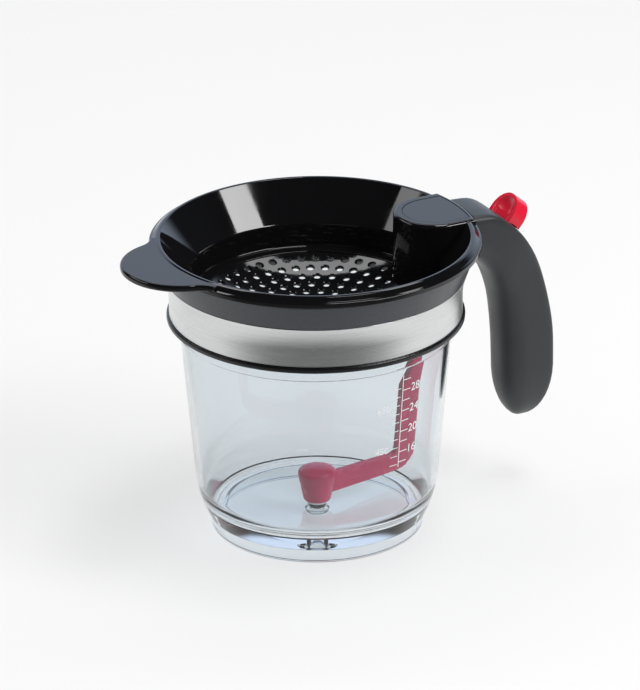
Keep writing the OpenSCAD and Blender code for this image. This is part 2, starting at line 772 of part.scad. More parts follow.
module hump_block(inset, z0, z1) {
    intersection() {
        translate([0, 0, z0]) linear_extrude(z1 - z0) hump_outline(inset);
        translate([0, 0, z0 - 1]) cylinder(r = rim_r - inset * 0.6, h = z1 - z0 + 2);
    }
}

// Round corner between the tab and the rim; it runs a little way into the rim
corner_tuck = 0.3;
corner_far = rim_r + tab_corner_r - corner_tuck;
corner_x = -(tab_x * tab_x + pow(corner_far, 2) - pow(tab_r + tab_corner_r, 2)) / (2 * tab_x);
corner_y = sqrt(pow(corner_far, 2) - corner_x * corner_x);

module tab_corners(inset) {
    for (side = [-1, 1])
        difference() {
            polygon([[-tab_x, 0], [corner_x, side * corner_y], [-rim_r * 0.6, side * corner_y * 0.6]]);
            translate([corner_x, side * corner_y]) circle(r = tab_corner_r + inset);
        }
}

module tab() {
    tab_top = rim_top - 0.5;
    edge = 0.9;
    translate([-tab_x, 0, tab_top - tab_t])
    rotate_extrude()
        polygon([[0, 0], [tab_r - edge, 0], [tab_r - 0.2, edge - 0.2], [tab_r, tab_t * 0.45],
                 [tab_r - 0.3, tab_t - edge - 0.2], [tab_r - edge, tab_t - 0.2],
                 [tab_r - 2 * edge, tab_t], [0, tab_t]]);
    translate([0, 0, tab_top - tab_t]) linear_extrude(tab_t) tab_corners(edge);
    translate([0, 0, tab_top - tab_t + edge]) linear_extrude(tab_t - 2 * edge) tab_corners(0);
}

module strainer_lid() {
    color(black)
    difference() {
        union() {
            difference() {
                union() {
                    rotate_extrude() lid_profile();
                    difference() {
                        tab();
                        translate([0, 0, rim_under - lug])
                            cylinder(r = bowl_top_r + 2, h = rim_h + 2 * lug);
                    }
                }
                hump_block(lid_wall, hump_under - 1, rim_under - 0.5);
                hump_block(lid_wall, rim_under - 1, rim_top - lid_wall);
            }
            difference() {
                hump_block(0, hump_under, hump_top);
                hump_block(lid_wall, hump_under - 1, hump_top - lid_wall - panel_sink);
                // outside the bowl the lid has only its rim
                difference() {
                    translate([0, 0, hump_under - 1]) cylinder(r = 100, h = rim_under - hump_under + 1);
                    translate([0, 0, hump_under - 2])
                        cylinder(r = bowl_r + lid_wall, h = rim_under - hump_under + 4);
                    translate([0, 0, bowl_edge_z])
                        cylinder(r1 = bowl_r + cone_shift, r2 = cone_r(rim_under) + cone_shift,
                                 h = rim_under - bowl_edge_z);
                }
            }
        }
        // seat of the inset panel
        hump_block(panel_border, hump_top - panel_sink, hump_top + 1);
    }
}

module housing_panel() {
    color(black)
    difference() {
        hump_block(panel_border + fit, hump_top - panel_sink + 0.02, hump_top - 0.1);
        difference() {
            hump_block(panel_border + fit, hump_top - 0.4, hump_top);
            hump_block(panel_border + fit + 0.7, hump_top - 0.6, hump_top + 1);
        }
    }
}

// Rings of holes, each turned half a pitch from the one inside it
function holes_in_ring(k) = round(2 * PI * (hole_first_r + k * hole_ring_step) / hole_ring_step / 1.16);

module dish_holes() {
    for (k = [0 : hole_rings - 1]) {
        r = hole_first_r + k * hole_ring_step;
        count = holes_in_ring(k);
        if (r + hole_d < dish_r)
            for (i = [0 : count - 1]) {
                a = 360 * (i + (k % 2) / 2) / count;
                away = norm([r * cos(a) - hump_x, r * sin(a)]);
                if (away > hump_half_w + hole_d / 2 + 1)
                    rotate(a) translate([r, 0, dish_z(r) - dish_t - 2])
                        cylinder(d = hole_d, h = dish_t + 4, $fn = 24);
            }
    }
    translate([0, 0, dish_z(0) - dish_t - 2]) cylinder(d = hole_d, h = dish_t + 4, $fn = 24);
}

module strainer_dish() {
    color(black)
    difference() {
        intersection() {
            translate([0, 0, dish_centre_z]) sphere(r = dish_R + dish_t, $fn = 180);
            translate([0, 0, dish_z(0) - dish_t - 1]) cylinder(r = dish_r, h = dish_drop + dish_t + 1);
        }
        translate([0, 0, dish_centre_z]) sphere(r = dish_R, $fn = 180);
        dish_holes();
        // the housing's nose comes down through the dish
        translate([0, 0, dish_z(0)]) linear_extrude(30) hump_outline(-fit);
    }
}

jar();
jar_seal();
base_ring();
steel_band();
collar();
arm_guide();
guide_screw(1);  // guide_screw_left
guide_screw(-1);  // guide_screw_right
handle();
handle_screw(1);  // handle_screw_left
handle_screw(-1);  // handle_screw_right
trigger_lever();
trigger_pin();
return_spring();
link_pin();
valve_arm();
valve_stem();
valve_seal();
strainer_lid();
strainer_dish();
housing_panel();
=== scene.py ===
# %% [markdown]
# # A gravy fat separator with a strainer lid
#
# The jug has a clear jar that drains through its floor, a collar with a steel band and a
# handle, a black strainer lid, and a red trigger that lifts a stopper off the drain.
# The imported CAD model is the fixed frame. Each visible part is modelled again here with finer
# edges, or keeps its CAD node and gets a better finish. Lengths are written in millimetres and
# turned into metres where they meet Blender.

# %% Load the frame
import bpy
import bmesh
import json
from math import asin, atan, atan2, ceil, cos, degrees, hypot, pi, radians, sin, sqrt, tan
from mathutils import Matrix, Vector

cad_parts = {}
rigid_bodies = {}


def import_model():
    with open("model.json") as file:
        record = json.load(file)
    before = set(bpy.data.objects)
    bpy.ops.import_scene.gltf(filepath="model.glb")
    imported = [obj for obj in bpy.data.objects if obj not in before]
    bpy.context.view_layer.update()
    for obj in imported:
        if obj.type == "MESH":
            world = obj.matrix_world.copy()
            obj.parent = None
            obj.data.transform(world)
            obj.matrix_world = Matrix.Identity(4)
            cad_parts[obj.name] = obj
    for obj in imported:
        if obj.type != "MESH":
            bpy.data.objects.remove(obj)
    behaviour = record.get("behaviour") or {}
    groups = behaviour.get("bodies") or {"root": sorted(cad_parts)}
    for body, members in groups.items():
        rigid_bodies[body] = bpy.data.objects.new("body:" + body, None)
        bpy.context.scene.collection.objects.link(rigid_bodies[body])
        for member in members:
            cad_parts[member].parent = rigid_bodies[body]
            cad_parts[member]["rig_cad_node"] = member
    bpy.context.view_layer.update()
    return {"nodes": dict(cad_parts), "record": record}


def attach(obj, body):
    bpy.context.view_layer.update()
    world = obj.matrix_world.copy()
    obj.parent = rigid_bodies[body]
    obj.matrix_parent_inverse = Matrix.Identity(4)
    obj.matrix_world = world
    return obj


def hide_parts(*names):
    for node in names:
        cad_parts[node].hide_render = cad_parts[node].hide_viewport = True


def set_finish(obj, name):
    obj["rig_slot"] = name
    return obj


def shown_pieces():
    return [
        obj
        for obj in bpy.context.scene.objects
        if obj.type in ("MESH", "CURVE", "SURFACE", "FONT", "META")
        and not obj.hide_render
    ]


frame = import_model()
cad = frame["nodes"]
MM = 0.001

# %% [markdown]
# ## Small helpers
#
# An operator works on whatever is selected, and loading leaves the CAD nodes selected, so
# every step starts by clearing the selection. Faces and edges are then picked in code by
# where they are, as a click would pick them by hand.

# %% Selection helpers
def clear_selection():
    if bpy.context.object and bpy.context.object.mode != "OBJECT":
        bpy.ops.object.mode_set(mode="OBJECT")
    bpy.ops.object.select_all(action="DESELECT")


def work_on(piece):
    clear_selection()
    bpy.context.view_layer.objects.active = piece
    piece.select_set(True)


def rename(piece, name):
    piece.name = name
    piece.data.name = name
    return piece


def fix_place():
    """Moves the object's place, turn and size into its mesh."""
    bpy.ops.object.transform_apply(location=True, rotation=True, scale=True)


def pick(kind, test):
    """Selects the faces, edges or vertices of the edited mesh for which test is true."""
    mesh = bmesh.from_edit_mesh(bpy.context.object.data)
    bpy.ops.mesh.select_mode(type={"faces": "FACE", "edges": "EDGE", "verts": "VERT"}[kind])
    bpy.ops.mesh.select_all(action="DESELECT")
    count = 0
    for part in getattr(mesh, kind):
        if test(part):
            part.select_set(True)
            count += 1
    mesh.select_flush_mode()
    bmesh.update_edit_mesh(bpy.context.object.data)
    return count


def apply_modifier(piece, kind, **settings):
    work_on(piece)
    modifier = piece.modifiers.new(kind.title(), kind)
    for key, value in settings.items():
        setattr(modifier, key, value)
    bpy.ops.object.modifier_apply(modifier=modifier.name)


def cut(piece, *tools, how="DIFFERENCE"):
    """Cuts or joins other solids into a piece, then removes them."""
    for tool in tools:
        apply_modifier(piece, "BOOLEAN", operation=how, object=tool, solver="EXACT")
        bpy.data.objects.remove(tool)


def smooth(piece, angle=32):
    """Smooth shading that breaks at sharp edges and favours the large faces."""
    work_on(piece)
    bpy.ops.object.shade_smooth_by_angle(angle=radians(angle))
    apply_modifier(piece, "WEIGHTED_NORMAL", keep_sharp=True, weight=60)


def tidy_mesh(merge=0.004):
    bpy.ops.mesh.select_all(action="SELECT")
    bpy.ops.mesh.remove_doubles(threshold=merge * MM)
    bpy.ops.mesh.normals_make_consistent(inside=False)


def report(piece):
    tris = sum(len(p.vertices) - 2 for p in piece.data.polygons)
    print(f"{piece.name}: {len(piece.data.vertices)} points, {tris} triangles")
    return piece


# %% [markdown]
# ## How the round parts are made
#
# Most of this jug is round: jar, band, ring, bowl, hood. On a real one these come from turned
# moulds. Here one point is extruded along half of the cross-section and the line is spun
# round the axis. A cube with bevels could not give these flowing profiles. Corners get their
# rounding in the profile, because a highlight only shows on a corner that has a radius.

# %% Profiles with rounded corners
def rounded(corners, turn=18, closed=True):
    """Corners are (r, z) or (r, z, radius). Returns the line with its corners rounded."""
    line = []
    n = len(corners)
    for i, corner in enumerate(corners):
        radius = corner[2] if len(corner) > 2 else 0
        here = Vector(corner[:2])
        if not radius or (not closed and i in (0, n - 1)):
            line.append(here)
            continue
        back = (Vector(corners[i - 1][:2]) - here)
        ahead = (Vector(corners[(i + 1) % n][:2]) - here)
        angle = back.angle(ahead)
        if pi - angle < 0.01:
            line.append(here)
            continue
        reach = min(radius / tan(angle / 2), back.length * 0.49, ahead.length * 0.49)
        radius = reach * tan(angle / 2)
        middle = here + (back.normalized() + ahead.normalized()).normalized() * radius / sin(angle / 2)
        start = here + back.normalized() * reach - middle
        end = here + ahead.normalized() * reach - middle
        sweep = start.angle_signed(end)
        steps = max(2, ceil(abs(degrees(sweep)) / turn))
        for k in range(steps + 1):
            line.append(middle + start @ Matrix.Rotation(sweep * k / steps, 2))
    return line


def first_point(name, x, y, z):
    """A small plane drawn together to one point, in edit mode, ready to be extruded."""
    clear_selection()
    bpy.ops.mesh.primitive_plane_add(size=MM, location=(x, y, z))
    piece = rename(bpy.context.object, name)
    fix_place()
    bpy.ops.object.mode_set(mode="EDIT")
    bpy.ops.mesh.select_mode(type="VERT")
    bpy.ops.mesh.select_all(action="SELECT")
    bpy.ops.mesh.merge(type="CENTER")
    return piece


def turned(name, line, steps=144, closed=True):
    """Spins a profile of (r, z) points in millimetres round the Z axis."""
    line = [Vector(p[:2]) * MM for p in line]
    piece = first_point(name, line[0].x, 0, line[0].y)
    ends = zip(line, line[1:] + line[:1] if closed else line[1:])
    for a, b in ends:
        bpy.ops.mesh.extrude_region_move(
            TRANSFORM_OT_translate={"value": (b.x - a.x, 0, b.y - a.y)})
    bpy.ops.mesh.select_all(action="SELECT")
    bpy.ops.mesh.spin(steps=steps, angle=2 * pi, center=(0, 0, 0), axis=(0, 0, 1))
    tidy_mesh()
    bpy.ops.object.mode_set(mode="OBJECT")
    return piece


# %% [markdown]
# ## Sizes
#
# These lengths repeat the ones the CAD model was built with, so each new piece lies where
# its solid lies.

# %% Sizes in millimetres
JAR_R, TAPER, WALL = 65.9, 5.2, 3.0
CURVE_R, CURVE_Z, INNER_CURVE_R = 58, 28, 13
BEAD_Z, BEAD_TOP, MOUTH_Z = 101.5, 108.0, 126.0
NECK_R, MOUTH_R = 66.1, 63.1
BAND_R, BAND_T = 71.0, 0.6
BAND_BOT, BAND_TOP = 111.0, 131.0
FLARE_R, FLARE_Z = 32.0, 120.0
FLARE_A = asin((BAND_TOP - FLARE_Z) / FLARE_R)
RIM_UNDER = 144.8
BOWL_R, BOWL_EDGE, LEDGE = 60.3, 131.1, 119.4
RIM_R, BOWL_TOP_R, LID_WALL = 80.2, 74.8, 1.8
CONE = (BOWL_TOP_R - BOWL_R) / 19.0
CONE_SHIFT = LID_WALL / cos(atan(CONE))
DISH_R, DISH_DROP, DISH_T = 53.5, 10.7, 1.6
DISH_BALL = (DISH_R ** 2 + DISH_DROP ** 2) / (2 * DISH_DROP)
DISH_CENTRE = LEDGE - 0.7 - DISH_DROP + DISH_BALL
HUMP_X, HUMP_HALF, HUMP_TOP = 64.6, 20.0, 150.3
HOLE_R, HOLE_STEP, HOLE_RINGS, LIP_R = 1.65, 6.2, 8, 0.75


def wall_r(z):
    return JAR_R - (BEAD_Z - z) * tan(radians(TAPER))


def cone_r(z):
    return BOWL_R + (z - BOWL_EDGE) * CONE


def dish_z(r):
    return DISH_CENTRE - sqrt(DISH_BALL ** 2 - r * r)


print("jar wall at the foot's curve", round(wall_r(CURVE_Z), 2), "dish ball", round(DISH_BALL, 2))

# %% [markdown]
# ## The clear jar
#
# The jar is one clear moulding: a foot ring, a floor that falls to a nozzle in the middle, a
# leaning wall and a bead that the black ring sits on. Clear plastic shows both of its
# surfaces, so the profile is the full closed section with its wall, and not a single skin.

# %% Jar
def on_curve(radius, angle):
    start = Vector((wall_r(CURVE_Z), CURVE_Z))
    centre = start - CURVE_R * Vector((cos(radians(TAPER)), -sin(radians(TAPER))))
    return centre + radius * Vector((cos(angle), -sin(angle)))


def jar_profile():
    a0, a1 = radians(TAPER), asin((on_curve(0, 0)[1] - 7.6) / CURVE_R)
    outside = [(46.1, 0, 0.9), (51.6, 0, 1.1), (52.5, 6.9, 0.7), (51.9, 7.5)]
    outside += [tuple(on_curve(CURVE_R, a1 + (a0 - a1) * k / 12)) for k in range(13)]
    outside += [(JAR_R, BEAD_Z, 0.6), (JAR_R + 1.1, BEAD_Z + 0.7, 0.5), (JAR_R + 1.1, BEAD_TOP, 0.7),
                (NECK_R, BEAD_TOP), (NECK_R, MOUTH_Z, 0.7), (MOUTH_R, MOUTH_Z, 0.7), (MOUTH_R, BEAD_TOP, 2)]
    floor_x, floor_z = wall_r(25.5) - WALL - INNER_CURVE_R, 25.5
    a2 = pi / 2 - atan(4.5 / floor_x)
    inside = [(wall_r(BEAD_Z) - WALL, BEAD_Z, 2)]
    for k in range(11):
        a = a0 + (a2 - a0) * k / 10
        inside.append((floor_x + INNER_CURVE_R * cos(a), floor_z - INNER_CURVE_R * sin(a)))
    drain = [(4.7, 8.1, 0.4), (3.5, 7.1, 0.2), (3.5, 1.2, 0.3), (5.9, 1.2, 0.6), (5.9, 4.0, 0.8),
             (8.4, 4.2, 1.0), (44.1, 6.9, 1.4), (46.1, 5.9, 0.8)]
    return rounded(outside + inside + drain)


jar = turned("jar_body", jar_profile(), steps=160)
smooth(jar, 30)
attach(jar, "vessel")
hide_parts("jar")
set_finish(jar, "clear_jar")
report(jar)

# %% [markdown]
# ## The ring, the band and the collar
#
# A black ring closes the joint under a steel band, and the band flares into the dark collar.
# The real band is rolled sheet with a turned edge, so its profile has a small hem at both
# ends, where light catches.

# %% Black ring
ring = turned("base_ring_body", rounded([
    (66.25, 108.06, 0.3), (72.2, 108.06, 1.0), (72.2, 110.9, 0.9), (66.25, 110.9, 0.3)], turn=15))
smooth(ring)
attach(ring, "vessel")
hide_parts("base_ring")
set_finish(ring, "black_ring")
report(ring)


# %% Steel band
def on_flare(off, angle):
    return (BAND_R + FLARE_R - (FLARE_R + off) * cos(angle), FLARE_Z + (FLARE_R + off) * sin(angle))


def band_profile():
    steps = 10
    outer = [on_flare(0, FLARE_A * k / steps) for k in range(steps + 1)]
    inner = [on_flare(BAND_T, FLARE_A * k / steps) for k in range(steps, -1, -1)]
    top_out, top_in = outer.pop() + (0.22,), inner.pop(0) + (0.22,)
    return rounded([(BAND_R - BAND_T, BAND_BOT, 0.25), (BAND_R, BAND_BOT, 0.25)]
                   + outer + [top_out, top_in] + inner, turn=20)


band = turned("steel_band_body", band_profile(), steps=160)


def lever_way():
    """A block where the lever passes through the band and the collar."""
    clear_selection()
    bpy.ops.mesh.primitive_cube_add(size=1, location=(75 * MM, 0, 150 * MM))
    block = rename(bpy.context.object, "lever_way_tool")
    block.scale = (40 * MM, 14 * MM, (300 - 2 * 129.2) * MM)
    fix_place()
    return block


cut(band, lever_way())
smooth(band)
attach(band, "vessel")
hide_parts("steel_band")
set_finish(band, "band_steel")
report(band)

# %% [markdown]
# ## The strainer lid
#
# The lid is one glossy black moulding: a bowl, a rolled rim, a thumb tab on the left and a
# housing over the lever on the right. The bowl is turned first. The tab and the housing are
# modelled as solids with rounded edges and then joined to it.

# %% Bowl of the lid
def lid_profile():
    return rounded([
        (53.6, 117.6, 0.3), (62.1, 117.6, 0.6), (62.1, 130.4, 2.0),
        (cone_r(RIM_UNDER) + CONE_SHIFT, RIM_UNDER, 0.8), (RIM_R, RIM_UNDER, 0.6),
        (RIM_R, 147.4, 0.7), (78.9, 147.9, 0.5), (76.9, 149.65, 0.6), (76.0, 149.98, 0.6), (74.9, 149.9, 0.7),
        (BOWL_R, BOWL_EDGE, 2.6), (BOWL_R, LEDGE, 0.9), (53.6, LEDGE, 0.3)], turn=15)


lid = turned("strainer_lid_body", lid_profile(), steps=180)


# %% Thumb tab
def flat_blank(name, line, z0, z1):
    """A flat outline in millimetres, raised into a slab between two heights."""
    slab = first_point(name, line[0][0] * MM, line[0][1] * MM, z0 * MM)
    for a, b in zip(line, line[1:]):
        bpy.ops.mesh.extrude_region_move(
            TRANSFORM_OT_translate={"value": ((b[0] - a[0]) * MM, (b[1] - a[1]) * MM, 0)})
    bpy.ops.mesh.select_all(action="SELECT")
    bpy.ops.mesh.edge_face_add()
    bpy.ops.mesh.extrude_region_move(TRANSFORM_OT_translate={"value": (0, 0, (z1 - z0) * MM)})
    bpy.ops.mesh.select_all(action="SELECT")
    bpy.ops.mesh.normals_make_consistent(inside=False)
    bpy.ops.object.mode_set(mode="OBJECT")
    return slab


def round_edges(piece, test, width, segments=4):
    """Bevels the edges of a piece for which test(edge) is true."""
    work_on(piece)
    bpy.ops.object.mode_set(mode="EDIT")
    count = pick("edges", test)
    bpy.ops.mesh.bevel(offset=width * MM, segments=segments, affect="EDGES", clamp_overlap=True)
    bpy.ops.object.mode_set(mode="OBJECT")
    return count


def at_height(z, reach=0.02):
    return lambda edge: all(abs(v.co.z - z * MM) < reach * MM for v in edge.verts)


def arc(cx, cy, r, a0, a1, steps):
    return [(cx + r * cos(a0 + (a1 - a0) * k / steps), cy + r * sin(a0 + (a1 - a0) * k / steps))
            for k in range(steps + 1)]


TAB_X, TAB_R, TAB_CORNER, TUCK = 71.0, 30.0, 12.0, 0.3
TAB_LOW, TAB_TOP, TAB_ROUND = 146.2, 149.6, 1.3
corner_far = RIM_R + TAB_CORNER - TUCK
corner_x = -(TAB_X ** 2 + corner_far ** 2 - (TAB_R + TAB_CORNER) ** 2) / (2 * TAB_X)
corner_y = sqrt(corner_far ** 2 - corner_x ** 2)


def tab_outline():
    """The round end, a hollow corner on each side, and a back that follows the rim's slope."""
    meet = atan2(corner_y, corner_x + TAB_X)
    rim_side = atan2(corner_y, corner_x)
    end = arc(-TAB_X, 0, TAB_R, meet, 2 * pi - meet, 60)
    low = arc(corner_x, -corner_y, TAB_CORNER, pi - meet, pi - rim_side, 12)[1:]
    back = arc(0, 0, 76.6, 2 * pi - rim_side, rim_side, 40)
    high = [(x, -y) for x, y in reversed(low)]
    return end + low + back + high


def free_edge(z):
    return lambda e: at_height(z)(e) and all(hypot(v.co.x, v.co.y) > 77 * MM for v in e.verts)


tab = flat_blank("thumb_tab_blank", tab_outline(), TAB_LOW, TAB_TOP)
top = round_edges(tab, free_edge(TAB_TOP), TAB_ROUND, 5)
low = round_edges(tab, free_edge(TAB_LOW), TAB_ROUND, 5)
cut(lid, tab, how="UNION")
print("tab edges rounded:", top, low)

# %% [markdown]
# ### The housing over the lever
#
# The housing is a D-shaped block with a soft top edge. Its back follows the rim, so it is
# trimmed by a turned solid a little smaller than the lid's outside. Then its inside is
# cut away together with the bowl's wall behind it, which leaves the way for the lever.

# %% Housing
def d_outline(inset, reach):
    half = HUMP_HALF - inset
    side = asin(half / reach)
    return (arc(HUMP_X, 0, half, pi / 2, 3 * pi / 2, 48)
            + arc(0, 0, reach, -side, side, 24))


def d_block(name, inset, reach, z0, z1):
    return flat_blank(name, d_outline(inset, reach), z0, z1)


housing = d_block("housing_blank", 0, RIM_R - 0.5, 113.75, HUMP_TOP)
round_edges(housing, at_height(HUMP_TOP), 1.9, 7)
limit = turned("limit_tool", rounded([
    (0.01, 105), (BOWL_R + 1.2, 105), (BOWL_R + 1.2, BOWL_EDGE),
    (cone_r(RIM_UNDER) + 1.4, RIM_UNDER + 0.3), (RIM_R + 2, RIM_UNDER + 0.3), (RIM_R + 2, 153),
    (0.01, 153)]), steps=120)
cut(housing, limit, how="INTERSECT")
cut(lid, housing, how="UNION")
cut(lid, d_block("housing_room_tool", LID_WALL, RIM_R - 1.1, 100, HUMP_TOP - LID_WALL - 0.8),
    d_block("panel_seat_tool", 4.4, RIM_R - 2.64, HUMP_TOP - 0.8, 152))
print("lid with housing:", len(lid.data.polygons), "faces")

# %% Finish the lid's edges
blend_edges = round_edges(lid, lambda e: at_height(TAB_TOP)(e) and all(
    hypot(v.co.x, v.co.y) < 77.9 * MM and v.co.x < 0 for v in e.verts), 0.7, 4)
print("tab blend edges:", blend_edges)
smooth(lid, 34)
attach(lid, "lid")
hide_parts("strainer_lid")
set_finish(lid, "black_gloss")
report(lid)

# %% Panel on the housing
panel = d_block("housing_panel_body", 4.55, RIM_R - 2.8, HUMP_TOP - 0.78, HUMP_TOP - 0.1)
round_edges(panel, at_height(HUMP_TOP - 0.1), 0.35, 4)
smooth(panel)
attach(panel, "lid")
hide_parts("housing_panel")
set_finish(panel, "black_gloss")
report(panel)

# %% [markdown]
# ### The strainer dish
#
# The floor of the bowl is a shallow dish with rings of holes. Each hole has a rounded lip:
# those lips throw the bright crescents that make the dish sparkle. One pin with that lip is
# modelled, copied to every place, and all the pins are cut out together.

# %% Dish and its holes
def dish_profile():
    under, over = DISH_BALL + DISH_T, DISH_BALL
    a = asin(DISH_R / DISH_BALL)
    upper = [(over * sin(a * k / 24), DISH_CENTRE - over * cos(a * k / 24)) for k in range(24, -1, -1)]
    b = asin(DISH_R / under)
    lower = [(under * sin(b * k / 24), DISH_CENTRE - under * cos(b * k / 24)) for k in range(25)]
    return upper[:-1] + [(0, upper[-1][1]), (0, lower[0][1])] + lower[1:]


dish = turned("strainer_dish_body", dish_profile(), steps=128)


def hole_places():
    places = [(0.0, 0.0)]
    for k in range(HOLE_RINGS):
        r = HOLE_STEP * (k + 1)
        count = round(2 * pi * r / HOLE_STEP / 1.16)
        for i in range(count):
            a = 2 * pi * (i + (k % 2) / 2) / count
            if hypot(r * cos(a) - HUMP_X, r * sin(a)) > HUMP_HALF + HOLE_R + 1:
                places.append((r * cos(a), r * sin(a)))
    return places


def lip_pin():
    """A pin at the dish's lowest point, with the lip's rounding as its flare."""
    top = DISH_CENTRE - DISH_BALL
    lip = [(HOLE_R + LIP_R * (1 - cos(radians(a))), top - LIP_R + LIP_R * sin(radians(a)))
           for a in (0, 25, 50, 72)]
    shank = [(0, top - 3), (HOLE_R, top - 3)]
    return turned("lip_pin_tool", shank + lip + [(2.7, top + 0.6), (0, top + 0.6)], steps=18)


pin = lip_pin()
tools = []
for x, y in hole_places():
    clear_selection()
    tool = pin.copy()
    tool.data = pin.data.copy()
    bpy.context.collection.objects.link(tool)
    lean = asin(hypot(x, y) / DISH_BALL)
    about = Vector((-y, x, 0)) if x or y else Vector((0, 1, 0))
    centre = Matrix.Translation((0, 0, DISH_CENTRE * MM))
    tool.data.transform(centre @ Matrix.Rotation(-lean, 4, about) @ centre.inverted())
    tools.append(tool)
bpy.data.objects.remove(pin)
clear_selection()
for tool in tools:
    tool.select_set(True)
bpy.context.view_layer.objects.active = tools[0]
bpy.ops.object.join()
cut(dish, bpy.context.object)
cut(dish, d_block("nose_tool", -0.1, RIM_R, 100, 140))
smooth(dish, 30)
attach(dish, "lid")
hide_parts("strainer_dish")
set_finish(dish, "black_gloss")
print("holes:", len(tools))
report(dish)

# %% [markdown]
# ## Handle, trigger, collar and valve arm
#
# These parts have flat sides and cut openings, and the CAD model already has their exact shape.
# A copy of each node is merged and its flat faces are joined up again. The handle keeps its own
# edges, and the others get the small radius that a moulded edge has. Without that radius no
# edge would catch the light.

# %% Copies of CAD nodes with softened edges
def softened(node, name, width, angle=38, segments=3, flat=0.4):
    clear_selection()
    piece = cad[node].copy()
    piece.data = cad[node].data.copy()
    bpy.context.collection.objects.link(piece)
    piece.parent = None
    for key in list(piece.keys()):
        del piece[key]
    rename(piece, name)
    work_on(piece)
    bpy.ops.mesh.customdata_custom_splitnormals_clear()
    bpy.ops.object.mode_set(mode="EDIT")
    bpy.ops.mesh.select_all(action="SELECT")
    bpy.ops.mesh.remove_doubles(threshold=0.004 * MM)
    bpy.ops.mesh.dissolve_limited(angle_limit=radians(flat))
    bpy.ops.object.mode_set(mode="OBJECT")
    if width:
        apply_modifier(piece, "BEVEL", width=width * MM, segments=segments, limit_method="ANGLE",
                       angle_limit=radians(angle), use_clamp_overlap=True, harden_normals=False)
    piece.data.materials.clear()
    return piece


handle = softened("handle", "handle_body", 0)
smooth(handle, 40)
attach(handle, "vessel")
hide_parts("handle")
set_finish(handle, "soft_grey")
report(handle)

lever = softened("trigger_lever", "trigger_body", 0.9, segments=4)
smooth(lever, 40)
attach(lever, "trigger")
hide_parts("trigger_lever")
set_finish(lever, "red_plastic")
report(lever)

collar = softened("collar", "collar_body", 0.35)
smooth(collar, 40)
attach(collar, "vessel")
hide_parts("collar")
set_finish(collar, "dark_grey")
report(collar)

arm = softened("valve_arm", "valve_arm_body", 0.5)
smooth(arm, 40)
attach(arm, "valve")
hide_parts("valve_arm")
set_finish(arm, "red_plastic")
report(arm)

# %% [markdown]
# ## The measuring scale
#
# The scale is printed on the outside of the jar: a line up the wall, ticks to both sides and
# plain numbers. Print has a thickness that the eye can't see, so each mark is a slab of a few
# hundredths of a millimetre, drawn flat and then laid on the wall. The two numbers on the left
# can't be read in the photograph and were typed in without a source. Going by the marks on the
# right, 500 and 750 would fit the places where they stand.

# %% Scale marks
PRINT_T, PRINT_GAP = 0.05, 0.04
SCALE_TURN, SCALE_LOW, SCALE_HIGH = -77.5, 48.2, 98.0
RIGHT_LOW, RIGHT_STEP = 51.2, 5.52
LEFT_LOW, LEFT_STEP = 50.2, 4.56


def laid_on_wall(piece, turn, z):
    """Moves a piece drawn in the XY plane to the wall: X round it, Y up it and Z outwards."""
    a, lean = radians(turn), radians(TAPER)
    out = Vector((cos(a) * cos(lean), sin(a) * cos(lean), -sin(lean)))
    round_ = Vector((-sin(a), cos(a), 0))
    place = Matrix((round_, out.cross(round_), out)).transposed().to_4x4()
    r = wall_r(z) + PRINT_GAP
    place.translation = Vector((r * cos(a), r * sin(a), z)) * MM
    piece.data.transform(place)
    piece.data.update()
    return piece


def mark(width, height):
    """A flat bar with round ends, in the middle of the XY plane."""
    r = min(width, height) / 2 - 0.001
    x, y = width / 2 - r, height / 2 - r
    line = [p for cx, cy, a in ((x, y, 0), (-x, y, 1), (-x, -y, 2), (x, -y, 3))
            for p in arc(cx, cy, r, a * pi / 2, (a + 1) * pi / 2, 3)]
    return flat_blank("scale_mark", line, 0, PRINT_T)


def number(value, size):
    clear_selection()
    bpy.ops.object.text_add()
    words = bpy.context.object
    words.data.body = str(value)
    words.data.size, words.data.extrude = size * MM, PRINT_T * MM / 2
    words.data.align_x, words.data.align_y = "CENTER", "CENTER"
    words.data.resolution_u = 3
    bpy.ops.object.convert(target="MESH")
    return bpy.context.object


def scale_marks():
    middle = (SCALE_LOW + SCALE_HIGH) / 2
    made = [laid_on_wall(mark(0.42, SCALE_HIGH - SCALE_LOW), SCALE_TURN, middle)]
    for i in range(9):
        made.append(laid_on_wall(mark(4.6, 0.42), SCALE_TURN + 2.3, RIGHT_LOW + RIGHT_STEP * i))
    for i in range(10):
        made.append(laid_on_wall(mark(4.4, 0.36), SCALE_TURN - 2.9, LEFT_LOW + LEFT_STEP * i))
    for i, value in enumerate((16, 20, 24, 28)):
        made.append(laid_on_wall(number(value, 6.2), SCALE_TURN + 7.4, 56.8 + 11.04 * i))
    for i, value in enumerate((450, 650)):
        made.append(laid_on_wall(number(value, 5.0), SCALE_TURN - 9.4, 59.2 + 22.4 * i))
    clear_selection()
    for piece in made:
        piece.select_set(True)
    bpy.context.view_layer.objects.active = made[0]
    bpy.ops.object.join()
    return rename(bpy.context.object, "scale_marks")


scale = scale_marks()
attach(scale, "vessel")
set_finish(scale, "pale_rubber")
report(scale)

# %% [markdown]
# ## Finishes
#
# Two node groups hold the effects that several materials share. They put out values only: a
# roughness, a height and a shade, and each material wires them to its own shader. Both
# read Object coordinates, which are metres here, so a scale of 1000 gives marks about a
# millimetre across.

# %% Node helpers
def add_node(tree, kind, **settings):
    node = tree.nodes.new(kind)
    for key, value in settings.items():
        if key in node.inputs:
            node.inputs[key].default_value = value
        else:
            setattr(node, key, value)
    return node


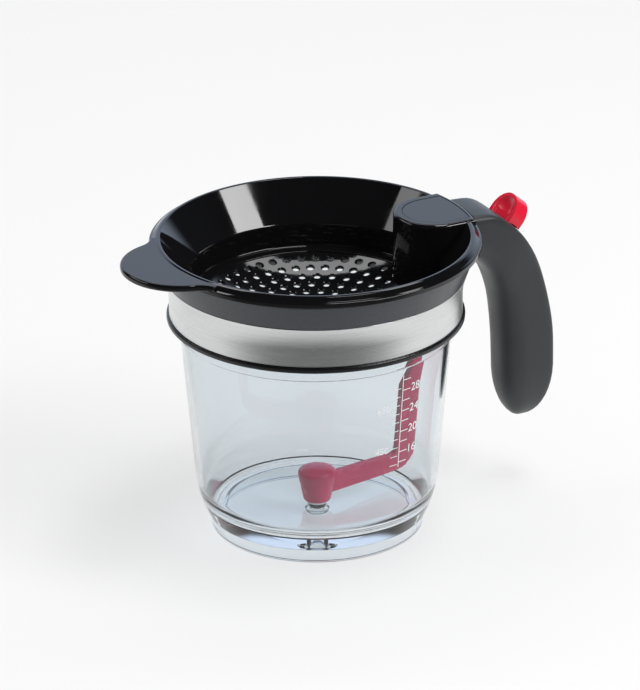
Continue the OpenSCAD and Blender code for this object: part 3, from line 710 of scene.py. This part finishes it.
def new_group(name, inputs, outputs):
    tree = bpy.data.node_groups.new(name, "ShaderNodeTree")
    for label, value in inputs.items():
        socket = tree.interface.new_socket(label, in_out="INPUT", socket_type="NodeSocketFloat")
        socket.default_value = value
    for label in outputs:
        tree.interface.new_socket(label, in_out="OUTPUT", socket_type="NodeSocketFloat")
    return tree, tree.nodes.new("NodeGroupInput"), tree.nodes.new("NodeGroupOutput")


def math_node(tree, operation, a, b):
    node = add_node(tree, "ShaderNodeMath", operation=operation)
    for socket, value in zip(node.inputs, (a, b)):
        if isinstance(value, (int, float)):
            socket.default_value = value
        else:
            tree.links.new(value, socket)
    return node.outputs[0]


def noise_node(tree, vector, scale, detail=2.0, roughness=0.5):
    node = add_node(tree, "ShaderNodeTexNoise", Scale=scale, Detail=detail, Roughness=roughness)
    tree.links.new(vector, node.inputs["Vector"])
    return node.outputs["Fac"]


def scaled_vector(tree, vector, scale, turn=(0, 0, 0)):
    node = add_node(tree, "ShaderNodeMapping", Scale=scale, Rotation=turn)
    tree.links.new(vector, node.inputs["Vector"])
    return node.outputs["Vector"]


# %% Group: a moulded surface that has been handled
def handled_group():
    """Soft blotches where hands have been, a fine grain, and a few hairline scratches."""
    tree, given, out = new_group(
        "handled_surface", {"Smooth": 0.1, "Rough": 0.2, "Grain": 0.3, "Scratches": 0.3},
        ["Roughness", "Height", "Shade"])
    place = tree.nodes.new("ShaderNodeTexCoord").outputs["Object"]
    blotch = noise_node(tree, place, 45, 3, 0.6)
    grain = noise_node(tree, place, 2600, 2, 0.6)
    lines = math_node(tree, "ADD",
                      hairlines(tree, scaled_vector(tree, place, (900, 14, 60), (0.3, 0.2, 0.5))),
                      hairlines(tree, scaled_vector(tree, place, (20, 800, 70), (0.1, 0.7, 0.2))))
    lines = math_node(tree, "MULTIPLY", lines, given.outputs["Scratches"])
    mix = add_node(tree, "ShaderNodeMapRange", interpolation_type="SMOOTHSTEP")
    mix.inputs["From Min"].default_value = 0.35
    mix.inputs["From Max"].default_value = 0.68
    tree.links.new(blotch, mix.inputs["Value"])
    tree.links.new(given.outputs["Smooth"], mix.inputs["To Min"])
    tree.links.new(given.outputs["Rough"], mix.inputs["To Max"])
    rough_lines = math_node(tree, "MULTIPLY", lines, 0.25)
    tree.links.new(math_node(tree, "ADD", mix.outputs["Result"], rough_lines), out.inputs["Roughness"])
    relief = math_node(tree, "MULTIPLY", grain, given.outputs["Grain"])
    tree.links.new(math_node(tree, "SUBTRACT", relief, lines), out.inputs["Height"])
    tree.links.new(blotch, out.inputs["Shade"])
    return tree


def hairlines(tree, vector):
    """Thin lines where a stretched noise crosses its middle value."""
    value = noise_node(tree, vector, 1, 1, 0.4)
    off = math_node(tree, "ABSOLUTE", math_node(tree, "SUBTRACT", value, 0.62), 0)
    fall = math_node(tree, "MULTIPLY", off, 130)
    return math_node(tree, "MAXIMUM", math_node(tree, "SUBTRACT", 1, fall), 0)


handled = handled_group()
print("group:", handled.name, [s.name for s in handled.interface.items_tree])


# %% Group: brushing that runs round an axis
def brushed_group():
    """Fine lines that follow the band round, long along the turn and thin across it."""
    tree, given, out = new_group("brushed_round", {"Lines": 9000.0, "Length": 6.0},
                                 ["Roughness", "Height", "Shade"])
    place = tree.nodes.new("ShaderNodeTexCoord").outputs["Object"]
    parts = tree.nodes.new("ShaderNodeSeparateXYZ")
    tree.links.new(place, parts.inputs[0])
    turn = math_node(tree, "ARCTAN2", parts.outputs["Y"], parts.outputs["X"])
    joined = tree.nodes.new("ShaderNodeCombineXYZ")
    tree.links.new(math_node(tree, "MULTIPLY", turn, given.outputs["Length"]), joined.inputs["X"])
    across = math_node(tree, "MULTIPLY", parts.outputs["Z"], given.outputs["Lines"])
    tree.links.new(across, joined.inputs["Y"])
    fine = noise_node(tree, joined.outputs[0], 1.0, 3, 0.65)
    broad = noise_node(tree, scaled_vector(tree, joined.outputs[0], (0.5, 0.12, 1)), 1.0, 2, 0.5)
    spread = math_node(tree, "MULTIPLY", fine, 0.26)
    tree.links.new(math_node(tree, "ADD", 0.16, spread), out.inputs["Roughness"])
    tree.links.new(fine, out.inputs["Height"])
    tree.links.new(math_node(tree, "ADD", math_node(tree, "MULTIPLY", fine, 0.5),
                             math_node(tree, "MULTIPLY", broad, 0.5)), out.inputs["Shade"])
    return tree


brushed = brushed_group()
print("group:", brushed.name)


# %% [markdown]
# ### Plastics and rubber
#
# The lid is polished, the collar and ring are satin, and the handle is a soft-touch rubber
# skin. They are one kind of material with other numbers, so one function makes them.

# %% Moulded finish
def moulded(name, color, shade=None, low=0.1, high=0.2, grain=0.2, scratches=0.2, depth=0.00001,
            sheen=0.0):
    """A moulded plastic: two close colours, roughness between low and high, and a fine relief."""
    material = bpy.data.materials.new(name)
    material.use_nodes = True
    tree = material.node_tree
    shader = tree.nodes["Principled BSDF"]
    shader.inputs["IOR"].default_value = 1.5
    shader.inputs["Sheen Weight"].default_value = sheen
    group = add_node(tree, "ShaderNodeGroup", node_tree=handled)
    for label, value in {"Smooth": low, "Rough": high, "Grain": grain, "Scratches": scratches}.items():
        group.inputs[label].default_value = value
    tones = tree.nodes.new("ShaderNodeValToRGB")
    tones.color_ramp.elements[0].position, tones.color_ramp.elements[1].position = 0.3, 0.7
    tones.color_ramp.elements[0].color = (*color, 1)
    tones.color_ramp.elements[1].color = (*(shade or [c * 1.12 for c in color]), 1)
    tree.links.new(group.outputs["Shade"], tones.inputs["Fac"])
    tree.links.new(tones.outputs["Color"], shader.inputs["Base Color"])
    tree.links.new(group.outputs["Roughness"], shader.inputs["Roughness"])
    bump = add_node(tree, "ShaderNodeBump", Strength=0.6, Distance=depth)
    tree.links.new(group.outputs["Height"], bump.inputs["Height"])
    tree.links.new(bump.outputs["Normal"], shader.inputs["Normal"])
    return material


finish = {
    "black_gloss": moulded("polished_black", (0.0045, 0.0045, 0.005), low=0.035, high=0.075, grain=0.05,
                           scratches=0.12, depth=0.000004),
    "dark_grey": moulded("satin_dark_grey", (0.028, 0.033, 0.040), low=0.26, high=0.34, grain=0.5),
    "soft_grey": moulded("soft_touch_grey", (0.023, 0.026, 0.028), low=0.36, high=0.46, grain=0.8,
                         sheen=0.03),
    "black_ring": moulded("satin_black", (0.006, 0.006, 0.007), low=0.2, high=0.3, grain=0.4),
    "red_plastic": moulded("satin_red", (0.66, 0.008, 0.032), (0.72, 0.012, 0.042), low=0.20, high=0.30,
                           grain=0.4),
    # The valve arm gets its own copy of the red plastic, pinker than the lever's. The extra blue paints in
    # the pale haze of light that the jar's wall lays over it.
    "arm_red": moulded("deep_red", (0.54, 0.008, 0.080), (0.60, 0.012, 0.100), low=0.2, high=0.3, grain=0.3),
    "scale_ink": moulded("white_ink", (0.82, 0.83, 0.84), (0.74, 0.75, 0.77), low=0.3, high=0.45, grain=0.4),
    "seal_rubber": moulded("grey_silicone", (0.30, 0.30, 0.31), low=0.45, high=0.6, grain=1.0),
    "stopper_rubber": moulded("black_silicone", (0.02, 0.02, 0.022), low=0.4, high=0.55, grain=1.0),
    "pale_rubber": moulded("pale_silicone", (0.78, 0.79, 0.80), low=0.35, high=0.5, grain=0.8),
}
print("plastics:", sorted(finish))


# %% [markdown]
# ### Steel and clear plastic
#
# The band is steel sheet brushed round its length. Its lines change the roughness and the
# relief. The jar is clear plastic: full transmission, a very low roughness that drifts a
# little, and a relief so shallow that it only bends the reflections, as on a real moulding.
# Clear plastic stops the lamps' light in this renderer, so a transparent shader takes its
# place for shadow rays and lets light in to the red arm.

# %% Steel
def steel(name, color, lines, length, depth):
    material = bpy.data.materials.new(name)
    material.use_nodes = True
    tree = material.node_tree
    shader = tree.nodes["Principled BSDF"]
    shader.inputs["Metallic"].default_value = 1.0
    group = add_node(tree, "ShaderNodeGroup", node_tree=brushed)
    group.inputs["Lines"].default_value = lines
    group.inputs["Length"].default_value = length
    tones = tree.nodes.new("ShaderNodeValToRGB")
    tones.color_ramp.elements[0].position, tones.color_ramp.elements[1].position = 0.3, 0.7
    tones.color_ramp.elements[0].color = (*[c * 0.82 for c in color], 1)
    tones.color_ramp.elements[1].color = (*color, 1)
    tree.links.new(group.outputs["Shade"], tones.inputs["Fac"])
    tree.links.new(tones.outputs["Color"], shader.inputs["Base Color"])
    tree.links.new(group.outputs["Roughness"], shader.inputs["Roughness"])
    bump = add_node(tree, "ShaderNodeBump", Strength=0.35, Distance=depth)
    tree.links.new(group.outputs["Height"], bump.inputs["Height"])
    tree.links.new(bump.outputs["Normal"], shader.inputs["Normal"])
    return material


finish["band_steel"] = steel("brushed_band", (0.76, 0.77, 0.77), 9000, 5, 0.00002)
finish["pin_steel"] = steel("turned_pin", (0.62, 0.63, 0.64), 5000, 3, 0.00001)


# %% Clear plastic
def clear_plastic():
    material = bpy.data.materials.new("clear_plastic")
    material.use_nodes = True
    tree = material.node_tree
    shader = tree.nodes["Principled BSDF"]
    shader.inputs["Transmission Weight"].default_value = 1.0
    shader.inputs["IOR"].default_value = 1.49
    shader.inputs["Base Color"].default_value = (0.84, 0.88, 0.905, 1)
    group = add_node(tree, "ShaderNodeGroup", node_tree=handled)
    for label, value in {"Smooth": 0.0, "Rough": 0.03, "Grain": 0.1, "Scratches": 0.1}.items():
        group.inputs[label].default_value = value
    tree.links.new(group.outputs["Roughness"], shader.inputs["Roughness"])
    bump = add_node(tree, "ShaderNodeBump", Strength=0.3, Distance=0.00004)
    tree.links.new(group.outputs["Shade"], bump.inputs["Height"])
    tree.links.new(bump.outputs["Normal"], shader.inputs["Normal"])
    lets_light_in = add_node(tree, "ShaderNodeBsdfTransparent", Color=(0.88, 0.91, 0.93, 1))
    mix = tree.nodes.new("ShaderNodeMixShader")
    tree.links.new(tree.nodes.new("ShaderNodeLightPath").outputs["Is Shadow Ray"], mix.inputs["Fac"])
    tree.links.new(shader.outputs[0], mix.inputs[1])
    tree.links.new(lets_light_in.outputs[0], mix.inputs[2])
    tree.links.new(mix.outputs[0], tree.nodes["Material Output"].inputs["Surface"])
    return material


finish["clear_jar"] = clear_plastic()


# %% Paint every piece
def paint_all():
    slots = {row["node"]: row["material_slot"] for row in frame["record"]["subparts"]}
    # The valve arm takes the red with painted haze, and the scale takes the white print.
    special = {"valve_arm_body": "arm_red", "scale_marks": "scale_ink"}
    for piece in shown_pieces():
        slot = special.get(piece.name) or piece.get("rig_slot") or slots[piece["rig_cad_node"]]
        piece.data.materials.clear()
        piece.data.materials.append(finish[slot])
        print(f"  {piece.name}: {finish[slot].name}")


paint_all()

# %% [markdown]
# ## Floor, light and camera
#
# The photograph is a plain studio shot, so the floor and the air round it are near white for
# the camera. Reflections see a white backdrop behind the jug only, and dark elsewhere, so the
# black bowl shows just the soft boxes in its walls. They also see a floor that darkens in
# front of the jug, which greys the middle of the steel band, and what is seen through the jar
# is dimmer to the sides, which darkens the jar's edges. None of this is a thing in a real
# room: the levels were set by comparing renders with the photograph.

# %% Floor
clear_selection()
bpy.ops.mesh.primitive_plane_add(size=16, location=(0, 0, 0))
floor = rename(bpy.context.object, "studio_floor")
WHITE, AMBIENT = 0.939, 0.55
VIEW_TURN = radians(63)
AHEAD = Vector((cos(VIEW_TURN), sin(VIEW_TURN), 0))
ACROSS = Vector((sin(VIEW_TURN), -cos(VIEW_TURN), 0))


def along(tree, vector, direction):
    node = add_node(tree, "ShaderNodeVectorMath", operation="DOT_PRODUCT")
    tree.links.new(vector, node.inputs[0])
    node.inputs[1].default_value = direction
    return node.outputs["Value"]


def step(tree, value, start, end, low=0.0, high=1.0):
    node = add_node(tree, "ShaderNodeMapRange", interpolation_type="SMOOTHSTEP")
    for label, value_at in zip(("From Min", "From Max", "To Min", "To Max"), (start, end, low, high)):
        node.inputs[label].default_value = value_at
    tree.links.new(value, node.inputs["Value"])
    return node.outputs["Result"]


def floor_material():
    material = bpy.data.materials.new("studio_white")
    material.use_nodes = True
    tree = material.node_tree
    shader = tree.nodes["Principled BSDF"]
    shader.inputs["Base Color"].default_value = (0.79, 0.79, 0.79, 1)
    shader.inputs["Roughness"].default_value = 0.6
    shader.inputs["Specular IOR Level"].default_value = 0.0
    glow = add_node(tree, "ShaderNodeEmission", Color=(1, 1, 1, 1), Strength=0.97)
    mix = add_node(tree, "ShaderNodeMixShader", Fac=0.5)
    tree.links.new(shader.outputs[0], mix.inputs[1])
    tree.links.new(glow.outputs[0], mix.inputs[2])
    place = tree.nodes.new("ShaderNodeTexCoord").outputs["Object"]
    path = tree.nodes.new("ShaderNodeLightPath")
    front = step(tree, along(tree, place, -AHEAD), 0.10, 0.30, 0.0, 0.85)
    side = step(tree, math_node(tree, "ABSOLUTE", along(tree, place, ACROSS), 0), 0.09, 0.22, 0.0, 0.4)
    shade = math_node(tree, "ADD", math_node(tree, "MULTIPLY", path.outputs["Is Glossy Ray"], front),
                      math_node(tree, "MULTIPLY", path.outputs["Is Transmission Ray"], side))
    dark = add_node(tree, "ShaderNodeEmission", Color=(0, 0, 0, 1), Strength=0.0)
    last = tree.nodes.new("ShaderNodeMixShader")
    tree.links.new(shade, last.inputs["Fac"])
    tree.links.new(mix.outputs[0], last.inputs[1])
    tree.links.new(dark.outputs[0], last.inputs[2])
    tree.links.new(last.outputs[0], tree.nodes["Material Output"].inputs["Surface"])
    return material


floor.data.materials.append(floor_material())


# %% World
def blend(tree, choice, a, b):
    """a where the choice is 0, b where it is 1."""
    node = tree.nodes.new("ShaderNodeMix")
    tree.links.new(choice, node.inputs["Factor"])
    for socket, value in ((node.inputs["A"], a), (node.inputs["B"], b)):
        if isinstance(value, (int, float)):
            socket.default_value = value
        else:
            tree.links.new(value, socket)
    return node.outputs["Result"]


def blend_color(tree, choice):
    """White, or the backdrop's cool white where the choice is 1."""
    node = add_node(tree, "ShaderNodeValToRGB")
    node.color_ramp.elements[0].color = (1, 1, 1, 1)
    node.color_ramp.elements[1].color = (0.80, 0.93, 1.15, 1)
    tree.links.new(choice, node.inputs["Fac"])
    return node.outputs["Color"]


def studio_world():
    world = bpy.data.worlds.new("studio")
    bpy.context.scene.world = world
    world.use_nodes = True
    tree = world.node_tree
    tree.nodes.clear()
    out = tree.nodes.new("ShaderNodeOutputWorld")
    path = tree.nodes.new("ShaderNodeLightPath")
    place = tree.nodes.new("ShaderNodeTexCoord").outputs["Generated"]
    backdrop = step(tree, along(tree, place, AHEAD), 0.64, 0.80, 0.02, WHITE)
    low = step(tree, along(tree, place, Vector((0, 0, 1))), 0.48, 0.60, 1.0, 0.03)
    mirrored = math_node(tree, "MULTIPLY", backdrop, low)
    side = step(tree, math_node(tree, "ABSOLUTE", along(tree, place, ACROSS), 0), 0.2, 0.5, WHITE, 0.5)
    kinds = ("Camera", "Glossy", "Transmission")
    camera, glossy, through = (path.outputs[f"Is {kind} Ray"] for kind in kinds)
    level = AMBIENT
    for is_it, value in ((through, side), (glossy, mirrored), (camera, WHITE)):
        level = blend(tree, is_it, level, value)
    back = tree.nodes.new("ShaderNodeBackground")
    tree.links.new(blend_color(tree, glossy), back.inputs["Color"])
    tree.links.new(level, back.inputs["Strength"])
    tree.links.new(back.outputs[0], out.inputs["Surface"])


studio_world()


# %% Soft boxes
def soft_box(name, turn, rise, distance, size, power):
    """A rectangular lamp at a compass turn and a rise in degrees, aimed at the jug."""
    target = Vector((0, 0, 0.12))
    turn, rise = radians(turn), radians(rise)
    away = Vector((cos(turn) * cos(rise), sin(turn) * cos(rise), sin(rise)))
    clear_selection()
    bpy.ops.object.light_add(type="AREA", location=target + away * distance)
    lamp = bpy.context.object
    lamp.name = name
    lamp.rotation_mode = "QUATERNION"
    lamp.rotation_quaternion = away.to_track_quat("Z", "Y")
    lamp.data.shape = "RECTANGLE"
    lamp.data.size, lamp.data.size_y = size
    lamp.data.energy = power
    lamp.visible_camera = False
    lamp.visible_transmission = False
    return lamp


soft_box("box_right", -51, 41.5, 1.7, (0.98, 0.38), 15)
soft_box("box_left", 139, 41, 1.7, (1.4, 0.26), 4.2)
soft_box("box_back", 63, 57, 1.7, (1.2, 0.24), 3.4)
soft_box("box_top", -20, 78, 1.8, (0.7, 0.5), 9)

# %% Camera
DISTANCE, EYE_HEIGHT, TURN = 3.11184, 1.42913, radians(27)
PITCH, YAW, ROLL = radians(23.2481), radians(0.03506), radians(-0.3932)


def photo_camera():
    around = Matrix.Rotation(-TURN, 3, "Z")
    ahead = around @ Vector((sin(YAW) * cos(PITCH), cos(YAW) * cos(PITCH), -sin(PITCH)))
    right = around @ Vector((cos(YAW), -sin(YAW), 0))
    up = right.cross(ahead)
    right, up = right * cos(ROLL) + up * sin(ROLL), up * cos(ROLL) - right * sin(ROLL)
    clear_selection()
    bpy.ops.object.camera_add(location=around @ Vector((0, -DISTANCE, EYE_HEIGHT)))
    camera = bpy.context.object
    camera.name = "photo_camera"
    camera.rotation_mode = "QUATERNION"
    camera.rotation_quaternion = Matrix((right, up, -ahead)).transposed().to_quaternion()
    camera.data.lens = 365.1
    camera.data.sensor_width = 36
    camera.data.clip_start, camera.data.clip_end = 0.05, 60
    bpy.context.scene.camera = camera
    return camera


print("camera at", [round(x, 3) for x in photo_camera().location])

# %% Finish
clear_selection()
bpy.context.scene.view_settings.view_transform = "Standard"
